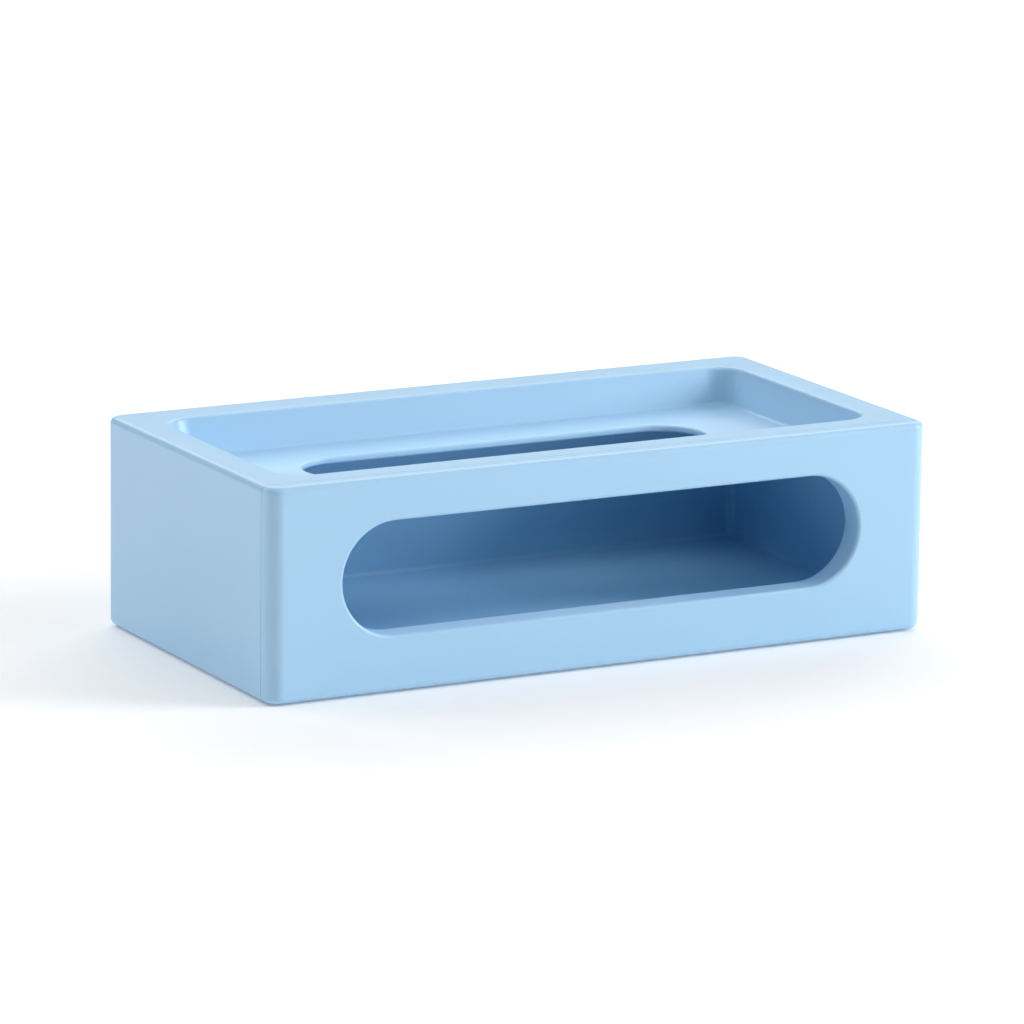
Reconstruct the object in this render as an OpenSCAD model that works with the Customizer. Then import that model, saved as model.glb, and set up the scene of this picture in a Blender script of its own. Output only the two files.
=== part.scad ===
// Tissue box with a tray top and a pull-out drawer.
// Origin: middle of the footprint, on the plane the feet stand on. +X right, front faces -Y, +Z up.

/* [Body] */
// Overall length, left to right
body_w = 250; // [220:1:300]
// Overall depth, front to back
body_d = 128; // [116:1:160]
// Height of the body, without the feet
body_h = 72.4; // [70:0.2:100]
// Radius of the four upright corners
corner_r = 5.5; // [4:0.5:8]
// Radius of the top and bottom edges
edge_r = 2.2; // [1:0.1:3]
// Wall thickness of the casing
casing_wall = 3; // [2.4:0.1:3.6]

/* [Tray] */
// Width of the rim at the left and right ends
rim_end_w = 13; // [11:0.5:20]
// Width of the rim at the front and back
rim_side_w = 15.5; // [13.5:0.5:20]
// Depth of the tray below the rim
tray_depth = 12.6; // [8:0.2:14]
// How far the tray walls lean in over that depth
tray_lean = 4.5; // [1:0.5:6]
// Corner radius of the tray at the rim
tray_corner_r = 11; // [8:0.5:14]
// Wall thickness of the tray
tray_wall = 2.4; // [1.6:0.1:3]
// Radius where the rim turns down into the tray
rim_round_r = 1.5; // [0.5:0.1:2]
// Fillet radius where the tray walls meet its floor
tray_fillet_r = 1.5; // [0.5:0.1:2]

/* [Tissue slot] */
// Length of the slot
slot_len = 153; // [120:1:170]
// Width of the slot
slot_w = 32; // [24:1:40]
// How far the slot sits behind the middle of the tray
slot_back = 7; // [0:0.5:9]
// Radius of the slot's edges
slot_round_r = 0.9; // [0.3:0.1:1]

/* [Window] */
// Width of the drawer front left at each end of its window
window_end_w = 27; // [20:0.5:45]
// Height of the window
window_h = 38.6; // [30:0.2:40]
// Height of the window's sill above the bottom of the body
sill_h = 19.1; // [17:0.1:20]
// Radius of the window's front edge
window_round_r = 1.2; // [0.5:0.1:1.5]
// Radius of the window's inner edge
window_back_r = 0.6; // [0.2:0.1:0.8]

/* [Drawer front] */
// Thickness of the part that covers the casing's mouth
front_t = 6; // [5:0.5:7]
// Thickness of the step that enters the casing's mouth
plug_t = 1.5; // [1.2:0.1:2]
// Wall thickness of the lip round the window, inside the bin
lip_wall = 2; // [1.6:0.1:2.2]

/* [Drawer bin] */
// Thickness of the bin's end and back walls
bin_wall = 2; // [1.6:0.1:2.4]
// Thickness of the bin's front wall
bin_front_wall = 2; // [1.6:0.1:2.4]
// Thickness of the bin's floor
bin_floor = 1.9; // [1.6:0.1:2.4]
// Fillet radius where the bin's walls meet its floor
bin_fillet_r = 1.5; // [1:0.1:2.4]
// Radius of the bin's upright inside corners
bin_corner_r = 3; // [2.6:0.1:5]
// Length of the bin that stays in the casing when the drawer is pulled out
bin_kept_in = 32.5; // [31:0.5:50]

/* [Base] */
// Thickness of the base plate
base_t = 3; // [2.6:0.1:3.4]
// Height of the rails on the base plate
rail_h = 3.9; // [3.4:0.1:4.4]
// Width of a rail
rail_w = 12; // [10:0.5:14]
// Distance from the side of the body to the middle of a rail
rail_from_side = 45; // [40:1:55]
// Width of the groove along a rail
groove_w = 3.6; // [3:0.1:4]
// Depth of the groove along a rail
groove_depth = 2.4; // [2:0.1:2.6]
// Distance from the side of the body to the middle of a foot
foot_from_side = 21; // [18:0.5:28]
// Distance from the front or back of the body to the middle of a foot
foot_from_end = 17; // [17:0.5:24]
// Diameter of a foot pad
foot_d = 14; // [10:0.5:16]
// Thickness of a foot pad
foot_t = 2; // [1.6:0.1:2.4]
// How far a foot pad stands proud of the base
foot_stand = 0.8; // [0.6:0.1:1.2]
// Diameter of a rear bumper
bumper_d = 10; // [8:0.5:14]
// Distance from the side of the body to the middle of a rear bumper
bumper_from_side = 65; // [58:1:75]

/* [Screws] */
// Shank diameter of every screw
screw_d = 2.5; // [2:0.1:2.8]
// Head diameter of every screw
screw_head_d = 4.6; // [4:0.1:4.8]
// Length of a base screw, head included
base_screw_len = 11; // [8:0.5:16]
// Length of a rail screw, head included
rail_screw_len = 5.6; // [5.2:0.1:6]
// Length of a front screw under its head
front_screw_len = 7.5; // [6:0.1:7.8]
// Outer diameter of a screw boss in the casing
boss_d = 6; // [5.4:0.1:6.4]

/* [Clearances] */
// Gap between the drawer front and the casing's front edge
seam_gap = 0.25; // [0.2:0.05:0.5]
// Gap round the step of the drawer front in the casing's mouth
plug_gap = 0.4; // [0.3:0.05:0.6]
// Gap between the bin's end walls and the casing
bin_side_gap = 4.5; // [4:0.1:6]
// Gap between the bin's back wall and the casing
bin_back_gap = 6.5; // [6:0.1:8]
// Gap between the bin's top edge and the underside of the tray
bin_top_gap = 0.8; // [0.5:0.1:2]
// Running gap between the bin and what it slides on
slide_gap = 0.25; // [0.2:0.05:0.3]
// Gap between fixed pieces that are assembled into each other
fit_gap = 0.2; // [0.1:0.05:0.3]
// Radial gap round a screw shank
screw_gap = 0.05; // [0.04:0.01:0.1]

/* [Hidden] */

round_fn = 64;    // facets of a full circle, drawn as a true circle
arc_steps = 6;    // straight steps in a rounded edge
overcut = 1;      // how far a cutting shape runs past the face it cuts

blue = "#A9D0ED";
white = "#E9ECEE";
steel = "#B9BEC4";
rubber = "#5B6168";

// Faces of the body
half_w = body_w / 2;
half_d = body_d / 2;
bottom_z = foot_stand;
top_z = bottom_z + body_h;
seam_y = -half_d + front_t;
inner_x = half_w - casing_wall;
inner_y = half_d - casing_wall;
inner_top_z = top_z - casing_wall;
inner_corner_r = max(corner_r - casing_wall, 1);
mouth_corner_r = 1;  // corners of the casing's mouth under its top

// Tray
tray_half_x = half_w - rim_end_w;
tray_half_y = half_d - rim_side_w;
tray_z = top_z - tray_depth;
tray_under_z = tray_z - tray_wall;
slot_end_r = slot_w / 2;

// Window
window_len = body_w - 2 * window_end_w;
window_mid_z = bottom_z + sill_h + window_h / 2;
window_end_r = window_h / 2;
plug_y = seam_y + plug_t;
reveal_y = plug_y + bin_front_wall;

// Bin
base_top_z = bottom_z + base_t;
bin_under_z = base_top_z + rail_h + slide_gap;
bin_floor_z = bin_under_z + bin_floor;
bin_top_z = tray_under_z - bin_top_gap;
bin_half_x = inner_x - bin_side_gap;
bin_back_y = inner_y - bin_back_gap;
bin_inner_x = bin_half_x - bin_wall;
bin_inner_y = bin_back_y - bin_wall;
travel = bin_back_y - seam_y - bin_kept_in;

// Rails, and the lugs under the bin that run in their grooves
rail_x = half_w - rail_from_side;
rail_end_gap = 1.5;
rail_front_y = reveal_y + rail_end_gap;
rail_back_y = bin_back_y - rail_end_gap;
lug_len = 4;
lug_inset = 12;
lug_slack = 1;
lug_y = rail_back_y - lug_inset;
lug_depth = groove_depth - 2 * slide_gap;
groove_front_y = lug_y - lug_len / 2 - travel - fit_gap;
groove_back_y = lug_y + lug_len / 2 + lug_slack;
rib_w = 2;
rib_clear = 0.6;
rail_screw_ys = [(rail_front_y + groove_front_y) / 2, (rail_back_y + groove_back_y) / 2];

// Base plate fixings
boss_count = 4;
boss_inset = 20;
boss_y = inner_y - boss_d / 2 + fit_gap;
boss_xs = [for (i = [0 : boss_count - 1]) (half_w - boss_inset) * (2 * i / (boss_count - 1) - 1)];
tab_len = 14;
tab_t = 1.6;
tab_reach = 1.4;
tab_y = -half_d / 3;
head_h = (screw_head_d - screw_d) / 2;

// Screws of the drawer front: two by each end of the window, two under its sill
front_screw_end_x = (window_len / 2 + lip_wall + bin_inner_x) / 2;
front_screw_high_z = window_mid_z + window_h / 4;
front_screw_low_z = bottom_z + sill_h - lip_wall - screw_head_d / 2 - 2 * fit_gap;
front_screws_at = [for (side = [-1, 1]) each [[side * front_screw_end_x, front_screw_high_z],
                                              [side * front_screw_end_x, front_screw_low_z],
                                              [side * window_len / 5, front_screw_low_z]]];
pan_head_h = 1.6;
pan_round_r = 0.8;

// ---- Shapes ----

function unit(v) = v / norm(v);
function hundredths(x) = round(100 * x) / 100;

// Points of an arc of radius r that rounds the corner b between a and c
function rounded_corner(a, b, c, r) =
    let (u = unit(a - b), v = unit(c - b), half = acos(u * v) / 2,
         centre = b + unit(u + v) * r / sin(half),
         first = b + u * r / tan(half) - centre,
         last = b + v * r / tan(half) - centre,
         way = first.x * last.y - first.y * last.x > 0 ? 1 : -1)
    [for (i = [0 : arc_steps]) let (t = way * (180 - 2 * half) * i / arc_steps)
        centre + [first.x * cos(t) - first.y * sin(t), first.x * sin(t) + first.y * cos(t)]];

// Edge of a through hole from height low to height high, flared outwards by an arc at each end
function flared_edge(low, high, low_r, high_r) =
    let (turns = [for (i = [0 : arc_steps]) 90 * i / arc_steps])
    concat([[low_r, low - overcut]],
           [for (t = turns) [low_r * (1 - sin(t)), low + low_r * (1 - cos(t))]],
           [for (t = turns) [high_r * (1 - cos(t)), high - high_r * (1 - sin(t))]],
           [[high_r, high + overcut]]);

// Edge of an upright block with its bottom and top rounded
function rounded_edge(low, high, low_r, high_r) = concat(
    rounded_corner([-corner_r, low], [0, low], [0, high], low_r),
    rounded_corner([0, low], [0, high], [-corner_r, high], high_r));

// Solid with a rounded-rectangle plan of corner radius r.
// edge lists its side from the bottom up, as [step out from the plan's outline, height]
module swept_plan(half_x, half_y, r, edge) {
    last = len(edge) - 1;
    function section(half) = concat([for (p = edge) [half + p.x, p.y]],
                                    [for (i = [last : -1 : 0]) [-half - edge[i].x, edge[i].y]]);
    corner = concat([[0, edge[0].y]], [for (p = edge) [r + p.x, p.y]], [[0, edge[last].y]]);
    for (sx = [-1, 1], sy = half_y > r ? [-1, 1] : [0])
        translate([sx * (half_x - r), sy * (half_y - r), 0])
            rotate_extrude($fn = round_fn)
                polygon(corner);
    rotate([90, 0, 90])
        translate([0, 0, r - half_x])
            linear_extrude(2 * (half_x - r))
                polygon(section(half_y));
    if (half_y > r)
        translate([0, half_y - r, 0])
            rotate([90, 0, 0])
                linear_extrude(2 * (half_y - r))
                    polygon(section(half_x));
}

// Box between two corners
module box(low, high) {
    translate(low)
        cube(high - low);
}

// Swept plan that fits the casing's cavity and runs out past its mouth
module plan_through_mouth(half_x, back_y, edge) {
    front_y = -half_d - overcut - inner_corner_r;
    translate([0, (front_y + back_y) / 2, 0])
        swept_plan(half_x, (back_y - front_y) / 2, inner_corner_r, edge);
}

// Whole outside of the body, shared by the casing and the drawer front
module body_outside() {
    swept_plan(half_w, half_d, corner_r, rounded_edge(bottom_z, top_z, edge_r, edge_r));
}

// The tray's hollow, with its rim rounded over
module tray_hollow() {
    lean = atan(tray_lean / tray_depth);
    turn = 90 - lean;
    step = rim_round_r * (1 - sin(lean)) / cos(lean);
    rim = [for (i = [0 : arc_steps]) let (t = lean + turn * i / arc_steps)
        [step - rim_round_r * cos(t), top_z - rim_round_r + rim_round_r * sin(t)]];
    floor_corner = rounded_corner([-tray_corner_r, tray_z], [-tray_lean, tray_z], [0, top_z], tray_fillet_r);
    edge = concat(floor_corner, rim, [[step, top_z + overcut]]);
    swept_plan(tray_half_x, tray_half_y, tray_corner_r, edge);
}

// The tray's walls and floor, before it is hollowed
module tray_pan() {
    run_on = hundredths(tray_lean * tray_wall / tray_depth);
    swept_plan(tray_half_x, tray_half_y, tray_corner_r,
               [[tray_wall - tray_lean - run_on, tray_under_z], [tray_wall, top_z - casing_wall / 2]]);
}

module slot_hole() {
    translate([0, slot_back, 0])
        swept_plan(slot_len / 2, slot_end_r, slot_end_r,
                   flared_edge(tray_under_z, tray_z, slot_round_r, slot_round_r));
}

// Round-ended window. Heights of its edge run forwards, towards -Y
module window_hole() {
    translate([0, 0, window_mid_z])
        rotate([90, 0, 0])
            swept_plan(window_len / 2, window_end_r, window_end_r,
                       flared_edge(-reveal_y, half_d, window_back_r, window_round_r));
}

// Outside of the lip round the window. grow leaves a gap for what it passes through
module window_lip(grow) {
    translate([0, 0, window_mid_z])
        rotate([90, 0, 0])
            swept_plan(window_len / 2 + lip_wall + grow, window_end_r + lip_wall + grow,
                       window_end_r + lip_wall + grow,
                       [[0, -reveal_y - (grow > 0 ? overcut : 0)], [0, -plug_y + overcut]]);
}

// Countersunk screw, head down at the origin, shank up
module countersunk_screw(length) {
    difference() {
        union() {
            cylinder(d = screw_d, h = length, $fn = round_fn);
            cylinder(d1 = screw_head_d, d2 = screw_d, h = head_h, $fn = round_fn);
        }
        cross_recess();
    }
}

// Pan-head screw, head down at the origin, shank up
module pan_screw(length) {
    difference() {
        union() {
            translate([0, 0, pan_head_h])
                cylinder(d = screw_d, h = length, $fn = round_fn);
            rotate_extrude($fn = round_fn)
                polygon(concat([[0, 0]],
                               rounded_corner([0, 0], [screw_head_d / 2, 0], [screw_head_d / 2, pan_head_h],
                                              pan_round_r),
                               [[screw_head_d / 2, pan_head_h], [0, pan_head_h]]));
        }
        cross_recess();
    }
}

module cross_recess() {
    recess_len = screw_head_d * 0.55;
    recess_w = 0.6;
    recess_depth = 0.9;
    for (turn = [0, 90])
        rotate(turn)
            translate([-recess_len / 2, -recess_w / 2, -overcut])
                cube([recess_len, recess_w, recess_depth + overcut]);
}

// Hole for a countersunk screw through the base plate, from below
module countersunk_hole() {
    translate([0, 0, -overcut])
        cylinder(d = screw_d + 2 * fit_gap, h = base_t + 2 * overcut, $fn = round_fn);
    cylinder(d1 = screw_head_d + 2 * fit_gap, d2 = screw_d + 2 * fit_gap, h = head_h, $fn = round_fn);
    translate([0, 0, -overcut])
        cylinder(d = screw_head_d + 2 * fit_gap, h = overcut, $fn = round_fn);
}

// ---- Casing ----

module boss_solids() {
    for (x = boss_xs)
        translate([x, boss_y, base_top_z])
            cylinder(d = boss_d, h = inner_top_z - base_top_z + overcut, $fn = round_fn);
}

module boss_pilots() {
    for (x = boss_xs)
        translate([x, boss_y, base_top_z - overcut])
            cylinder(d = screw_d + 2 * screw_gap, h = base_screw_len - base_t + 2 * overcut, $fn = round_fn);
}

module casing_cavity() {
    difference() {
        plan_through_mouth(inner_x, inner_y,
                           concat([[0, bottom_z - overcut]],
                                  rounded_corner([0, bottom_z], [0, inner_top_z],
                                                 [-inner_corner_r, inner_top_z], mouth_corner_r)));
        tray_pan();
        boss_solids();
    }
}

// Everything in front of the casing's front edge
module in_front_of_casing() {
    box([-half_w - overcut, -2 * half_d, bottom_z - overcut],
        [half_w + overcut, seam_y + seam_gap, top_z + overcut]);
}

module tab_pockets() {
    low = [-tab_reach - fit_gap, tab_y - tab_len / 2 - fit_gap, base_top_z - tab_t - fit_gap];
    high = [tab_reach + fit_gap, tab_y + tab_len / 2 + fit_gap, base_top_z + fit_gap];
    for (x = [-inner_x, inner_x])
        translate([x, 0, 0])
            box(low, high);
}

module casing() {
    color(blue)
        difference() {
            body_outside();
            casing_cavity();
            in_front_of_casing();
            tray_hollow();
            slot_hole();
            boss_pilots();
            tab_pockets();
        }
}

// ---- Base ----

module foot_places() {
    for (x = [-1, 1] * (half_w - foot_from_side), y = [-1, 1] * (half_d - foot_from_end))
        translate([x, y, 0])
            children();
}

module base_plate() {
    edge_x = inner_x - fit_gap;
    color(blue)
        difference() {
            union() {
                plan_through_mouth(edge_x, inner_y - fit_gap, [[0, bottom_z], [0, base_top_z]]);
                box([-inner_x - tab_reach, tab_y - tab_len / 2, base_top_z - tab_t],
                    [inner_x + tab_reach, tab_y + tab_len / 2, base_top_z]);
            }
            in_front_of_casing();
            for (x = boss_xs)
                translate([x, boss_y, bottom_z])
                    countersunk_hole();
            for (x = [-1, 1] * rail_x, y = rail_screw_ys)
                translate([x, y, bottom_z])
                    countersunk_hole();
            foot_places()
                cylinder(d = foot_d + 2 * fit_gap, h = foot_t, $fn = round_fn);
        }
}

module base_screws() {
    color(steel)
        for (x = boss_xs)
            translate([x, boss_y, bottom_z])
                countersunk_screw(base_screw_len);
}

// side is -1 on the left and 1 on the right
module rail(side) {
    x = side * rail_x;
    color(white)
        difference() {
            box([x - rail_w / 2, rail_front_y, base_top_z],
                [x + rail_w / 2, rail_back_y, base_top_z + rail_h]);
            box([x - groove_w / 2, groove_front_y, base_top_z + rail_h - groove_depth],
                [x + groove_w / 2, groove_back_y, base_top_z + rail_h + overcut]);
            for (y = rail_screw_ys)
                translate([x, y, base_top_z - overcut])
                    cylinder(d = screw_d + 2 * screw_gap, h = rail_screw_len - base_t + fit_gap + overcut,
                             $fn = round_fn);
        }
}

module rail_screws() {
    color(steel)
        for (x = [-1, 1] * rail_x, y = rail_screw_ys)
            translate([x, y, bottom_z])
                countersunk_screw(rail_screw_len);
}

// Round pad with a softened lower edge
module foot(side, end) {
    pad_r = foot_d / 2;
    color(rubber)
        translate([side * (half_w - foot_from_side), end * (half_d - foot_from_end), 0])
            rotate_extrude($fn = round_fn)
                polygon(concat([[0, 0]],
                               rounded_corner([0, 0], [pad_r, 0], [pad_r, foot_t], foot_stand / 2),
                               [[pad_r, foot_t], [0, foot_t]]));
}

// Domed rubber stop on the inside of the casing's back wall
module rear_bumper(side) {
    bumper_r = bumper_d / 2;
    reach = bin_back_gap - slide_gap;
    color(rubber)
        translate([side * (half_w - bumper_from_side), inner_y, (bin_floor_z + bin_top_z) / 2])
            rotate([90, 0, 0])
                rotate_extrude($fn = round_fn)
                    polygon(concat([[0, 0], [bumper_r, 0]],
                                   rounded_corner([bumper_r, 0], [bumper_r, reach], [0, reach], bumper_r / 3),
                                   [[0, reach]]));
}

// ---- Drawer ----

module front_screw_places() {
    for (at = front_screws_at)
        translate([at.x, reveal_y, at.y])
            rotate([90, 0, 0])
                children();
}

// Step behind the drawer front that enters the casing's mouth
module drawer_plug() {
    plug_z = [base_top_z + plug_gap, inner_top_z - plug_gap];
    translate([0, 0, (plug_z[0] + plug_z[1]) / 2])
        rotate([90, 0, 0])
            swept_plan(inner_x - plug_gap, (plug_z[1] - plug_z[0]) / 2, mouth_corner_r,
                       [[0, -plug_y], [0, -seam_y + overcut]]);
}

module drawer_front() {
    color(blue)
        difference() {
            union() {
                intersection() {
                    body_outside();
                    box([-half_w, -half_d, 0], [half_w, seam_y, top_z]);
                }
                drawer_plug();
                window_lip(0);
            }
            window_hole();
            front_screw_places()
                cylinder(d = screw_d + 2 * screw_gap, h = front_screw_len + fit_gap, $fn = round_fn);
        }
}

module bin_inside() {
    inside_y = [reveal_y, bin_inner_y];
    translate([0, (inside_y[0] + inside_y[1]) / 2, 0])
        swept_plan(bin_inner_x, (inside_y[1] - inside_y[0]) / 2, bin_corner_r,
                   concat(rounded_corner([-bin_corner_r, bin_floor_z], [0, bin_floor_z], [0, bin_top_z],
                                         bin_fillet_r),
                          [[0, bin_top_z + overcut]]));
}

module bin_outside() {
    outside_y = [plug_y, bin_back_y];
    translate([0, (outside_y[0] + outside_y[1]) / 2, 0])
        swept_plan(bin_half_x, (outside_y[1] - outside_y[0]) / 2, bin_corner_r,
                   concat(rounded_corner([-bin_corner_r, bin_under_z], [0, bin_under_z], [0, bin_top_z],
                                         bin_fillet_r),
                          [[0, bin_top_z]]));
}

// Lugs that run in the rails' grooves, and ribs that guide the bin along the rails' outer sides
module bin_guides() {
    lug_half = groove_w / 2 - slide_gap;
    root_z = bin_under_z + bin_floor / 2;
    for (side = [-1, 1]) {
        x = side * rail_x;
        rib_x = side * (rail_x + rail_w / 2 + slide_gap + rib_w / 2);
        box([x - lug_half, lug_y - lug_len / 2, bin_under_z - slide_gap - lug_depth],
            [x + lug_half, lug_y + lug_len / 2, root_z]);
        box([rib_x - rib_w / 2, rail_front_y + overcut, base_top_z + rib_clear],
            [rib_x + rib_w / 2, rail_back_y, root_z]);
    }
}

module drawer_bin() {
    color(blue)
        difference() {
            union() {
                bin_outside();
                bin_guides();
            }
            bin_inside();
            window_lip(fit_gap);
            box([-window_len / 2 + window_end_r, plug_y - overcut, window_mid_z],
                [window_len / 2 - window_end_r, reveal_y + overcut, top_z]);
            front_screw_places()
                translate([0, 0, -overcut])
                    cylinder(d = screw_d + 2 * fit_gap, h = bin_front_wall + 2 * overcut, $fn = round_fn);
        }
}

module front_screws() {
    color(steel)
        front_screw_places()
            translate([0, 0, -pan_head_h])
                pan_screw(front_screw_len);
}

casing();
base_plate();
base_screws();
rail(-1);  // left_rail
rail(1);  // right_rail
rail_screws();
foot(-1, -1);  // front_left_foot
foot(1, -1);  // front_right_foot
foot(-1, 1);  // rear_left_foot
foot(1, 1);  // rear_right_foot
rear_bumper(-1);  // left_rear_bumper
rear_bumper(1);  // right_rear_bumper
drawer_front();
drawer_bin();
front_screws();
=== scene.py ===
"""Looks of the tissue box: satin moulded plastic shells over the fixed frame, on a pale floor in soft light.

Lengths are in millimetres and are turned to metres where a shell is made. Front is -Y, up is +Z.
"""

import bmesh
import bpy
import numpy as np
from mathutils import Matrix, Vector
from mathutils.geometry import tessellate_polygon


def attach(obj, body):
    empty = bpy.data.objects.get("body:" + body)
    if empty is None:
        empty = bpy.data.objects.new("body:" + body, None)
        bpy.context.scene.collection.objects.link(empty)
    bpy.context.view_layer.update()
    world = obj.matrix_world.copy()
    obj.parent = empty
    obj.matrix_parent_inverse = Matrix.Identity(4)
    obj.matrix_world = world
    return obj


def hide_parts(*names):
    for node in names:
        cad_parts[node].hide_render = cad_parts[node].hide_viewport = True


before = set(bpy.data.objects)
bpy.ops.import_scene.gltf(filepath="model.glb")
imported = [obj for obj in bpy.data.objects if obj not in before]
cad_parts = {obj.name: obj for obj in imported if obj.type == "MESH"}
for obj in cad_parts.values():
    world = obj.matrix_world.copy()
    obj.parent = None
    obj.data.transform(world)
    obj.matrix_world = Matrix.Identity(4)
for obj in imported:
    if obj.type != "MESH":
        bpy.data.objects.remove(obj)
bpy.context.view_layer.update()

# ---- Sizes, as in the part's source ----

MM = 0.001
HALF_W, HALF_D = 125.0, 64.0
BOTTOM_Z, TOP_Z = 0.8, 73.2
CORNER_R, EDGE_R, WALL = 5.5, 2.2, 3.0
SEAM_Y, SEAM_GAP = -58.0, 0.25
CEILING_Z, MOUTH_R = 70.2, 1.0

TRAY_X, TRAY_Y, TRAY_CORNER_R = 112.0, 48.5, 11.0
TRAY_DEPTH, TRAY_LEAN, TRAY_WALL = 12.6, 4.5, 2.4
TRAY_Z = TOP_Z - TRAY_DEPTH
TRAY_UNDER_Z = TRAY_Z - TRAY_WALL
RIM_ROUND_R, TRAY_FILLET_R = 1.5, 1.5
PAN_LOW_STEP, PAN_TOP_STEP, PAN_TOP_Z = -2.96, 2.4, 71.7

SLOT_X, SLOT_R, SLOT_BACK, SLOT_ROUND_R = 76.5, 16.0, 7.0, 0.9

WINDOW_X, WINDOW_R, WINDOW_Z = 98.0, 19.3, 39.2
WINDOW_ROUND_R, WINDOW_BACK_R, LIP_WALL = 1.2, 0.6, 2.0
PLUG_X, PLUG_LOW_Z, PLUG_TOP_Z = 121.6, 4.2, 69.8
PLUG_Y, REVEAL_Y = -56.5, -54.5

BIN_X, BIN_BACK_Y, BIN_LOW_Z, BIN_TOP_Z = 117.5, 54.5, 7.95, 57.4
BIN_IN_X, BIN_IN_Y, BIN_FLOOR_Z = 115.5, 52.5, 9.85
BIN_CORNER_R, BIN_FILLET_R, NOTCH_GAP = 3.0, 1.5, 0.2

BOSS_XS, BOSS_Y, BOSS_R, BOSS_LOW_Z = (-105.0, -35.0, 35.0, 105.0), 58.2, 3.0, 3.8
RAIL_X, RIB_OUT, RIB_HALF, RIB_LOW_Z = 80.0, 7.25, 1.0, 4.4
LUG_HALF, LUG_LOW_Z, LUG_Y, LUG_HALF_LEN, ROOT_Z = 1.55, 5.8, 41.0, 2.0, 8.9
RIB_FRONT_Y, RIB_BACK_Y, RIB_CORNER_R = -52.0, 53.0, 0.4

FLAT = 0.15  # narrow flat band beside each rounding, which keeps its shading off the flat face
EDGE_SOFTNESS, SHARP_ANGLE = 0.1, 50.0  # radius of every other edge, and what counts as an edge, in degrees
SAME_POINT = 0.001  # points closer than this are one point

# ---- Surfaces ----


def arc(centre, radius, start, end, steps=8):
    """Points of an arc: centre + radius (cos t, sin t), t from start to end in degrees."""
    t = np.radians(np.linspace(start, end, steps + 1))
    return np.column_stack([centre[0] + radius * np.cos(t), centre[1] + radius * np.sin(t)])


def rounded_path(half_x, half_y, radius, centre=(0.0, 0.0), steps=12):
    """Outline of a rounded rectangle, and the way out at each point of it.

    Each corner is its centre + radius (cos t, sin t), and the way out there is (cos t, sin t).
    It starts at the front right corner and runs anticlockwise, so its last stretch is the front side.
    """
    t = np.radians(np.linspace(-90, 0, steps + 1))[None, :] + np.radians([0, 90, 180, 270])[:, None]
    out = np.stack([np.cos(t), np.sin(t)], axis=-1)
    corners = np.array([[1, -1], [1, 1], [-1, 1], [-1, -1]]) * [half_x - radius, half_y - radius]
    points = corners[:, None, :] + radius * out + np.asarray(centre)
    return points.reshape(-1, 2), out.reshape(-1, 2)


def end_path(half_x, half_y, radius, end_y, towards, steps=12):
    """The same outline from the left side at end_y round the back (towards = 1) or front (-1) to the right.

    A point FLAT inside each end of the long straight stretch keeps the corners' shading off it.
    """
    t = np.radians(np.linspace(180, 90, steps + 1))
    left = np.column_stack([np.cos(t), towards * np.sin(t)])
    middle = np.array([0.0, towards])
    out = np.vstack([[[-1.0, 0.0]], left, [middle, middle], left[::-1] * [-1, 1], [[1.0, 0.0]]])
    corner = np.array([half_x - radius, towards * (half_y - radius)])
    arc_points = corner * [-1, 1] + radius * left
    inset = np.array([half_x - radius - FLAT, towards * half_y])
    points = np.vstack([[[-half_x, end_y]], arc_points, [inset * [-1, 1], inset],
                        arc_points[::-1] * [-1, 1], [[half_x, end_y]]])
    return points, out


def carried(path, profile, upright=False):
    """Profile of (step out, height) along a path: point (i, j) = path i + step j x way out i, at height j.

    The path lies flat and the height is Z. Upright, the path stands in the XZ plane and the height is Y.
    """
    points, out = path
    profile = np.asarray(profile, dtype=float)
    plane = points[:, None, :] + profile[None, :, :1] * out[:, None, :]
    height = np.broadcast_to(profile[None, :, 1:], plane.shape[:2] + (1,))
    grid = np.concatenate([plane, height], axis=-1)
    return grid[..., [0, 2, 1]] if upright else grid


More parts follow.
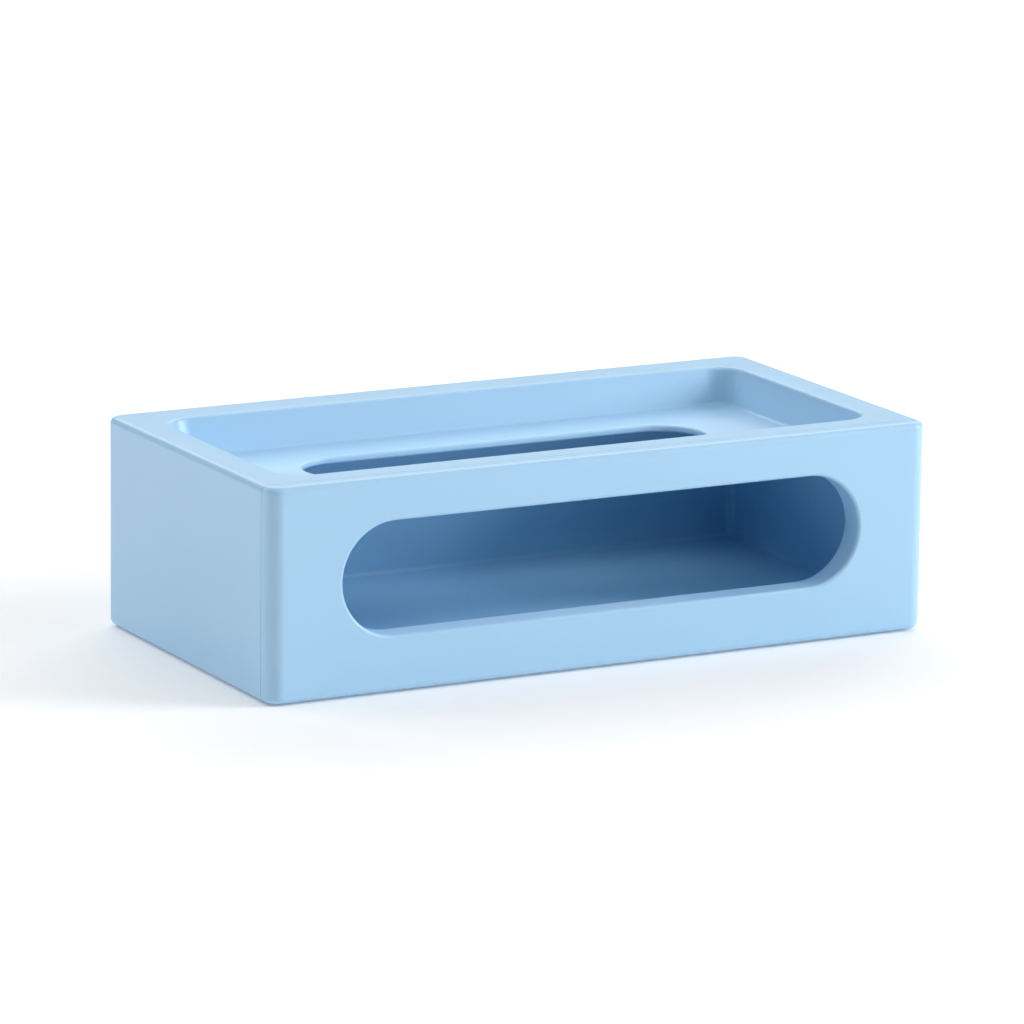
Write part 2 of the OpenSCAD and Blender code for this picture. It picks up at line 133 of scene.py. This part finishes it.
class Shell:
    """Collects grids and flat fills that share their edge points, and makes them one closed mesh."""

    def __init__(self):
        self.points = []
        self.faces = []
        self.count = 0

    def keep(self, points, faces):
        """Adds points, and faces that number them from 0."""
        self.points.append(points.reshape(-1, 3))
        self.faces.extend((faces + self.count).tolist())
        self.count += points.size // 3

    def grid(self, grid, closed=False):
        """Four-sided faces between neighbours on a grid of points. closed joins its last row to its first."""
        rows, columns = grid.shape[:2]
        index = np.arange(rows * columns).reshape(rows, columns)
        after = np.roll(index, -1, axis=0)
        if not closed:
            index, after = index[:-1], after[:-1]
        faces = np.stack([index[:, :-1], after[:, :-1], after[:, 1:], index[:, 1:]], axis=-1).reshape(-1, 4)
        self.keep(grid, faces)
        return grid

    def fill(self, outline, *holes):
        """Triangles over a flat outline with holes in it."""
        loops = [outline, *holes]
        triangles = tessellate_polygon([loop.tolist() for loop in loops])
        self.keep(np.concatenate(loops), np.array(triangles))

    def tube(self, path, low, high):
        """Closed upright prism on a closed path."""
        wall = self.grid(carried(path, [(0, low), (0, high)]), closed=True)
        self.fill(wall[:, 0])
        self.fill(wall[:, 1])

    def piece(self, name, body, node, slot, material):
        """Makes the piece: doubles merged, faces outwards, edges softened, normals weighted by area."""
        mesh = bpy.data.meshes.new(name)
        mesh.from_pydata((np.concatenate(self.points) * MM).tolist(), [], self.faces)
        work = bmesh.new()
        work.from_mesh(mesh)
        bmesh.ops.remove_doubles(work, verts=work.verts, dist=SAME_POINT * MM)
        bmesh.ops.recalc_face_normals(work, faces=work.faces)
        work.to_mesh(mesh)
        work.free()
        mesh.shade_smooth()
        mesh.materials.append(material)
        piece = bpy.data.objects.new(name, mesh)
        bpy.context.scene.collection.objects.link(piece)
        soften = piece.modifiers.new("softened_edges", "BEVEL")
        soften.width = EDGE_SOFTNESS * MM
        soften.segments = 2
        soften.limit_method = "ANGLE"
        soften.angle_limit = np.radians(SHARP_ANGLE)
        piece.modifiers.new("flat_faces_stay_flat", "WEIGHTED_NORMAL")
        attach(piece, body)
        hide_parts(node)


def casing_shell():
    """Casing: one wall section carried round the two ends and the back, then the sunk tray and its slot."""
    shell = Shell()
    section = np.vstack([
        [[-WALL - MOUTH_R - FLAT, CEILING_Z]],
        arc((-WALL - MOUTH_R, CEILING_Z - MOUTH_R), MOUTH_R, 90, 0, steps=4),
        [[-WALL, BOTTOM_Z]],
        arc((-EDGE_R, BOTTOM_Z + EDGE_R), EDGE_R, -90, 0),
        arc((-EDGE_R, TOP_Z - EDGE_R), EDGE_R, 0, 90),
        [[-EDGE_R - FLAT, TOP_Z]]])
    wall = shell.grid(carried(end_path(HALF_W, HALF_D, CORNER_R, SEAM_Y + SEAM_GAP, 1), section))
    shell.fill(np.concatenate([wall[0], wall[-1, ::-1]]))

    # The tray's walls lean in by TRAY_LEAN over its depth, between the rounded rim and a fillet at the floor
    lean = np.arctan2(TRAY_LEAN, TRAY_DEPTH)
    rim_step = RIM_ROUND_R * (1 - np.sin(lean)) / np.cos(lean)
    fillet_step = TRAY_LEAN + TRAY_FILLET_R * np.tan((np.pi / 2 - lean) / 2)
    tray_path = rounded_path(TRAY_X, TRAY_Y, TRAY_CORNER_R, steps=20)
    tray_section = np.vstack([
        [[rim_step + FLAT, TOP_Z]],
        arc((rim_step, TOP_Z - RIM_ROUND_R), RIM_ROUND_R, 90, 180 - np.degrees(lean)),
        arc((-fillet_step, TRAY_Z + TRAY_FILLET_R), TRAY_FILLET_R, -np.degrees(lean), -90),
        [[-fillet_step - FLAT, TRAY_Z]]])
    tray = shell.grid(carried(tray_path, tray_section), closed=True)

    slot_section = np.vstack([
        [[SLOT_ROUND_R + FLAT, TRAY_Z]],
        arc((SLOT_ROUND_R, TRAY_Z - SLOT_ROUND_R), SLOT_ROUND_R, 90, 180),
        arc((SLOT_ROUND_R, TRAY_UNDER_Z + SLOT_ROUND_R), SLOT_ROUND_R, 180, 270),
        [[SLOT_ROUND_R + FLAT, TRAY_UNDER_Z]]])
    slot_path = rounded_path(SLOT_X, SLOT_R, SLOT_R, (0, SLOT_BACK), steps=28)
    slot = shell.grid(carried(slot_path, slot_section), closed=True)

    pan_slope = (PAN_TOP_STEP - PAN_LOW_STEP) / (PAN_TOP_Z - TRAY_UNDER_Z)
    pan = shell.grid(carried(tray_path, [
        (PAN_LOW_STEP, TRAY_UNDER_Z),
        (PAN_LOW_STEP + pan_slope * (CEILING_Z - TRAY_UNDER_Z), CEILING_Z)]), closed=True)

    shell.fill(wall[:, -1], tray[:, 0])
    shell.fill(tray[:, -1], slot[:, 0])
    shell.fill(pan[:, 0], slot[:, -1])
    shell.fill(wall[:, 0], pan[:, -1])
    for x in BOSS_XS:
        boss = rounded_path(BOSS_R, BOSS_R, BOSS_R, (x, BOSS_Y), steps=6)
        shell.tube(boss, BOSS_LOW_Z, CEILING_Z + MOUTH_R)
    return shell


def drawer_front_shell():
    """Drawer front: rounded outside, round-ended window with its lip, and the step that enters the mouth."""
    shell = Shell()
    path = end_path(HALF_W, HALF_D, CORNER_R, SEAM_Y, -1)
    low_z, high_z = BOTTOM_Z + EDGE_R + FLAT, TOP_Z - EDGE_R - FLAT
    low = shell.grid(carried(path, np.vstack([
        [[-EDGE_R - FLAT, BOTTOM_Z]],
        arc((-EDGE_R, BOTTOM_Z + EDGE_R), EDGE_R, -90, 0),
        [[0, low_z]]])))
    high = shell.grid(carried(path, np.vstack([
        [[0, high_z]],
        arc((-EDGE_R, TOP_Z - EDGE_R), EDGE_R, 0, 90),
        [[-EDGE_R - FLAT, TOP_Z]]])))
    corner_points = len(path[0]) // 2
    band = carried(path, [(0, low_z), (0, high_z)])
    shell.grid(band[:corner_points])
    shell.grid(band[-corner_points:])

    window_path = rounded_path(WINDOW_X, WINDOW_R, WINDOW_R, (0, WINDOW_Z), steps=32)
    window = shell.grid(carried(window_path, np.vstack([
        [[WINDOW_ROUND_R + FLAT, -HALF_D]],
        arc((WINDOW_ROUND_R, -HALF_D + WINDOW_ROUND_R), WINDOW_ROUND_R, 270, 180),
        arc((WINDOW_BACK_R, REVEAL_Y - WINDOW_BACK_R), WINDOW_BACK_R, 180, 90, steps=5),
        [[LIP_WALL, REVEAL_Y], [LIP_WALL, PLUG_Y]]]), upright=True), closed=True)
    plug_half = (PLUG_TOP_Z - PLUG_LOW_Z) / 2
    plug_path = rounded_path(PLUG_X, plug_half, MOUTH_R, (0, PLUG_LOW_Z + plug_half), steps=4)
    plug = shell.grid(carried(plug_path, [(0, SEAM_Y), (0, PLUG_Y)], upright=True), closed=True)

    face = band[[corner_points - 1, -corner_points, -corner_points, corner_points - 1], [0, 0, 1, 1]]
    shell.fill(face, window[:, 0])
    shell.fill(np.concatenate([low[0], high[0], high[-1, ::-1], low[-1, ::-1]]), plug[:, 0])
    shell.fill(plug[:, -1], window[:, -1])
    shell.fill(high[:, -1])
    shell.fill(low[:, 0])
    return shell


def drawer_bin_shell():
    """Bin: rounded box, its front wall notched for the window's lip, with lugs and guide ribs underneath."""
    shell = Shell()
    outside = rounded_path(BIN_X, (BIN_BACK_Y - PLUG_Y) / 2, BIN_CORNER_R, (0, (BIN_BACK_Y + PLUG_Y) / 2))
    inside = rounded_path(BIN_IN_X, (BIN_IN_Y - REVEAL_Y) / 2, BIN_CORNER_R, (0, (BIN_IN_Y + REVEAL_Y) / 2))
    low_out, low_in = BIN_LOW_Z + BIN_FILLET_R, BIN_FLOOR_Z + BIN_FILLET_R

    def fillet(low):
        """Section of the rounding between a floor at height low and the wall on it."""
        centre = (-BIN_FILLET_R, low + BIN_FILLET_R)
        return np.vstack([[[-BIN_FILLET_R - FLAT, low]], arc(centre, BIN_FILLET_R, -90, 0)])

    under = shell.grid(carried(outside, fillet(BIN_LOW_Z)), closed=True)
    floor = shell.grid(carried(inside, fillet(BIN_FLOOR_Z)), closed=True)
    shell.fill(under[:, 0])
    shell.fill(floor[:, 0])
    outer = shell.grid(carried(outside, [(0, low_out), (0, BIN_TOP_Z)]))
    inner = shell.grid(carried(inside, [(0, low_in), (0, BIN_TOP_Z)]))

    # The notch follows the lip round its lower half and runs out through the bin's rim
    radius = WINDOW_R + LIP_WALL + NOTCH_GAP
    centre_x = WINDOW_X - WINDOW_R
    rise = np.degrees(np.arcsin((BIN_TOP_Z - WINDOW_Z) / radius))
    right = arc((centre_x, WINDOW_Z), radius, rise, -90, steps=32)
    notch = np.vstack([right, right[::-1] * [-1, 1]])
    notch_out = np.insert(notch, 1, PLUG_Y, axis=1)
    notch_in = np.insert(notch, 1, REVEAL_Y, axis=1)
    shell.grid(np.stack([notch_out, notch_in]))
    shell.fill(np.concatenate([outer[0], notch_out, outer[-1, ::-1]]))
    shell.fill(np.concatenate([inner[0], notch_in, inner[-1, ::-1]]))
    shell.fill(np.concatenate([outer[:, 1], notch_out[-1:], notch_in[-1:], inner[::-1, 1],
                               notch_in[:1], notch_out[:1]]))

    for side in (-1, 1):
        rib_centre = (side * (RAIL_X + RIB_OUT), (RIB_BACK_Y + RIB_FRONT_Y) / 2)
        rib = rounded_path(RIB_HALF, (RIB_BACK_Y - RIB_FRONT_Y) / 2, RIB_CORNER_R, rib_centre, steps=2)
        lug = rounded_path(LUG_HALF, LUG_HALF_LEN, RIB_CORNER_R, (side * RAIL_X, LUG_Y), steps=2)
        shell.tube(rib, RIB_LOW_Z, ROOT_Z)
        shell.tube(lug, LUG_LOW_Z, ROOT_Z)
    return shell


# ---- Materials ----

COLOUR_DRIFT_MM, GLOSS_DRIFT_MM = 45.0, 9.0  # how far apart a moulding's deeper and duller patches lie
GLOSS_SPREAD = 0.06
POLYMER_IOR = 1.5  # about that of ABS, acetal and rubber, and the shader's own default, which the metal keeps


def linear(hex_colour):
    """An sRGB hex colour as the linear values that a shader takes."""
    srgb = np.array([int(hex_colour[i:i + 2], 16) for i in (1, 3, 5)]) / 255
    values = np.where(srgb <= 0.04045, srgb / 12.92, ((srgb + 0.055) / 1.055) ** 2.4)
    return (*values.tolist(), 1.0)


def add(tree, kind, settings=None, **sockets):
    """Adds a node. settings are its own options. A socket takes a value, or another node's output to link."""
    node = tree.nodes.new(kind)
    for name, value in (settings or {}).items():
        setattr(node, name, value)
    for name, value in sockets.items():
        socket = node.inputs[name.replace("_", " ")]
        if isinstance(value, bpy.types.NodeSocket):
            tree.links.new(value, socket)
        else:
            socket.default_value = value
    return node


def per_metre(millimetres):
    """Noise scale whose features are that size."""
    return 1 / (millimetres * MM)


def moulded(name, colour, deeper, roughness, grain_mm, grain_depth_mm, **finish):
    """A formed surface: colour that drifts over centimetres, gloss over millimetres, and a fine grain.

    Gloss runs from roughness - GLOSS_SPREAD to roughness + GLOSS_SPREAD. finish is for further sockets.
    """
    material = bpy.data.materials.new(name)
    material.use_nodes = True
    tree = material.node_tree
    tree.nodes.clear()
    place = add(tree, "ShaderNodeTexCoord").outputs["Object"]
    drift = add(tree, "ShaderNodeTexNoise", Vector=place, Scale=per_metre(COLOUR_DRIFT_MM),
                Detail=2.0, Roughness=0.5)
    # Sockets 6, 7 and 2 are the colours of the mixing node, whose names its other kinds of value share
    tint = add(tree, "ShaderNodeMix", {"data_type": "RGBA"}, Factor=drift.outputs["Fac"])
    tint.inputs[6].default_value = linear(colour)
    tint.inputs[7].default_value = linear(deeper)
    smear = add(tree, "ShaderNodeTexNoise", Vector=place, Scale=per_metre(GLOSS_DRIFT_MM),
                Detail=3.0, Roughness=0.6)
    gloss = add(tree, "ShaderNodeMapRange", Value=smear.outputs["Fac"],
                To_Min=roughness - GLOSS_SPREAD, To_Max=roughness + GLOSS_SPREAD)
    grain = add(tree, "ShaderNodeTexNoise", Vector=place, Scale=per_metre(grain_mm),
                Detail=2.0, Roughness=0.5)
    bump = add(tree, "ShaderNodeBump", Height=grain.outputs["Fac"],
               Strength=1.0, Distance=grain_depth_mm * MM)
    shader = add(tree, "ShaderNodeBsdfPrincipled", Base_Color=tint.outputs[2],
                 Roughness=gloss.outputs["Result"], IOR=POLYMER_IOR, Normal=bump.outputs["Normal"], **finish)
    add(tree, "ShaderNodeOutputMaterial", Surface=shader.outputs["BSDF"])
    return material


# ABS, injection moulded in a fine spark-eroded tool: an even satin blue whose highlights are wide and soft.
# The real grain is about 0.1 mm, and it is drawn at 0.5 mm to show at all.
satin_abs = moulded("satin_moulded_abs", "#AED8F7", "#AAD5F5", 0.34, 0.5, 0.002)
# The same plastic in the bin, a little duller from a plainer tool. Its colour is painted a shade deeper and
# more saturated: painted shade for the inside of the box.
bin_abs_painted_shade = moulded("satin_moulded_abs_painted_shade", "#9FD3F4", "#9BD0F2", 0.42, 0.5, 0.002)
# Acetal, milled smooth: slightly waxy, off-white and glossier than the shells.
acetal = moulded("waxy_white_acetal", "#E6E9EA", "#DDE1E3", 0.3, 0.8, 0.002)
# Rubber, moulded matt: dark grey, with almost no highlight.
rubber = moulded("matt_moulded_rubber", "#5A6067", "#4F555B", 0.75, 0.6, 0.02)
# Steel, formed, zinc plated and tumbled: cool silver with a slightly cloudy shine.
zinc = moulded("zinc_plated_steel", "#C3C8CE", "#B2B8BF", 0.32, 0.3, 0.004, Metallic=1.0)
# Acrylic sheet with a cast matt face, a table lit weakly from below: white, with only a pale shadow on it.
table_acrylic = moulded("matt_white_acrylic", "#FAFAFA", "#F8F8F8", 0.8, 2.0, 0.0,
                        Emission_Color=linear("#FFFFFF"), Emission_Strength=0.12)

for shell, name, body, slot, plastic in (
        (casing_shell(), "casing", "housing", "casing_plastic", satin_abs),
        (drawer_front_shell(), "drawer_front", "drawer", "drawer_plastic", satin_abs),
        (drawer_bin_shell(), "drawer_bin", "drawer", "drawer_plastic", bin_abs_painted_shade)):
    shell.piece(name + "_shell", body, name, slot, plastic)

finishes = {"base_plate": satin_abs, "rail": acetal, "foot": rubber, "bumper": rubber, "screws": zinc}
for name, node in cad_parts.items():
    for ending, material in finishes.items():
        if name.endswith(ending):
            for material_slot in node.material_slots:
                material_slot.material = material

# ---- Floor, light and camera ----

FLOOR_REACH = 8.0
LIGHT_AIM, LIGHT_DISTANCE = np.array([0.0, 0.0, 0.03]), 2.6

# The camera fitted to the photograph: focal length in pixels of the square image, place in metres over the
# object's underside, and azimuth, elevation and roll in degrees
IMAGE_PX, SENSOR_MM, FOCAL_PX = 1024, 36.0, 6391.11
CAMERA_PLACE, CAMERA_TURN = (-1.00804, -1.87669, 0.52642), (-28.202, 12.869, 0.722)


def direction(azimuth, elevation):
    """The way out from the object at these angles in radians. Azimuth 0 is in front, a quarter turn right."""
    level = np.array([np.sin(azimuth), -np.cos(azimuth), 0.0])
    return np.cos(elevation) * level + np.array([0.0, 0.0, np.sin(elevation)])


def studio_floor():
    """A square table, level with the object's underside."""
    mesh = bpy.data.meshes.new("studio_floor")
    corners = [(x * FLOOR_REACH, y * FLOOR_REACH, 0.0) for x, y in ((-1, -1), (1, -1), (1, 1), (-1, 1))]
    mesh.from_pydata(corners, [], [(0, 1, 2, 3)])
    mesh.materials.append(table_acrylic)
    floor = bpy.data.objects.new("studio_floor", mesh)
    bpy.context.scene.collection.objects.link(floor)


def soft_box(name, azimuth, elevation, size, power):
    """A soft box that faces the object: angles in degrees, size in metres, power in watts."""
    way = direction(*np.radians([azimuth, elevation]))
    data = bpy.data.lights.new(name, "AREA")
    data.shape = "RECTANGLE"
    data.size, data.size_y = size
    data.energy = power
    light = bpy.data.objects.new(name, data)
    light.location = (LIGHT_AIM + LIGHT_DISTANCE * way).tolist()
    light.rotation_euler = Vector(way.tolist()).to_track_quat("Z", "Y").to_euler()
    bpy.context.scene.collection.objects.link(light)


def photo_camera():
    """The camera, from its axes: back towards it, right and up, the last two turned about it by the roll."""
    azimuth, elevation, roll = np.radians(CAMERA_TURN)
    back = direction(azimuth, elevation)
    level = np.cross(-back, [0, 0, 1])
    level /= np.linalg.norm(level)
    raised = np.cross(level, -back)
    right = np.cos(roll) * level + np.sin(roll) * raised
    up = np.cos(roll) * raised - np.sin(roll) * level
    matrix = np.eye(4)
    matrix[:3, :3] = np.column_stack([right, up, back])
    matrix[:3, 3] = CAMERA_PLACE
    matrix[2, 3] += BOTTOM_Z * MM
    data = bpy.data.cameras.new("photo_view")
    data.sensor_width = SENSOR_MM
    data.lens = FOCAL_PX * SENSOR_MM / IMAGE_PX
    camera = bpy.data.objects.new("photo_view", data)
    camera.matrix_world = Matrix(matrix.tolist())
    bpy.context.scene.collection.objects.link(camera)
    bpy.context.scene.camera = camera


studio_floor()
photo_camera()

world = bpy.data.worlds.new("dark_room")
world.use_nodes = True
world.node_tree.nodes["Background"].inputs["Strength"].default_value = 0.0
bpy.context.scene.world = world
bpy.context.scene.view_settings.view_transform = "Standard"

# A soft key low on the right under a wide light overhead, a strip behind that the rim mirrors, and weak ones
# on the left, where a gap in front of the near upright corner leaves it darker than the faces beside it
for light in (("key_right", 60, 20, (1.2, 1.2), 47),
              ("front_high", 40, 45, (2.0, 2.0), 11),
              ("overhead", 0, 90, (4.0, 4.0), 20),
              ("left_top", -60, 60, (2.8, 2.0), 17),
              ("left_strip", -110, 12, (1.8, 0.8), 5.5),
              ("back_left", -135, 38, (1.4, 1.4), 15),
              ("back_strip", 152, 35, (3.0, 1.4), 34)):
    soft_box(*light)
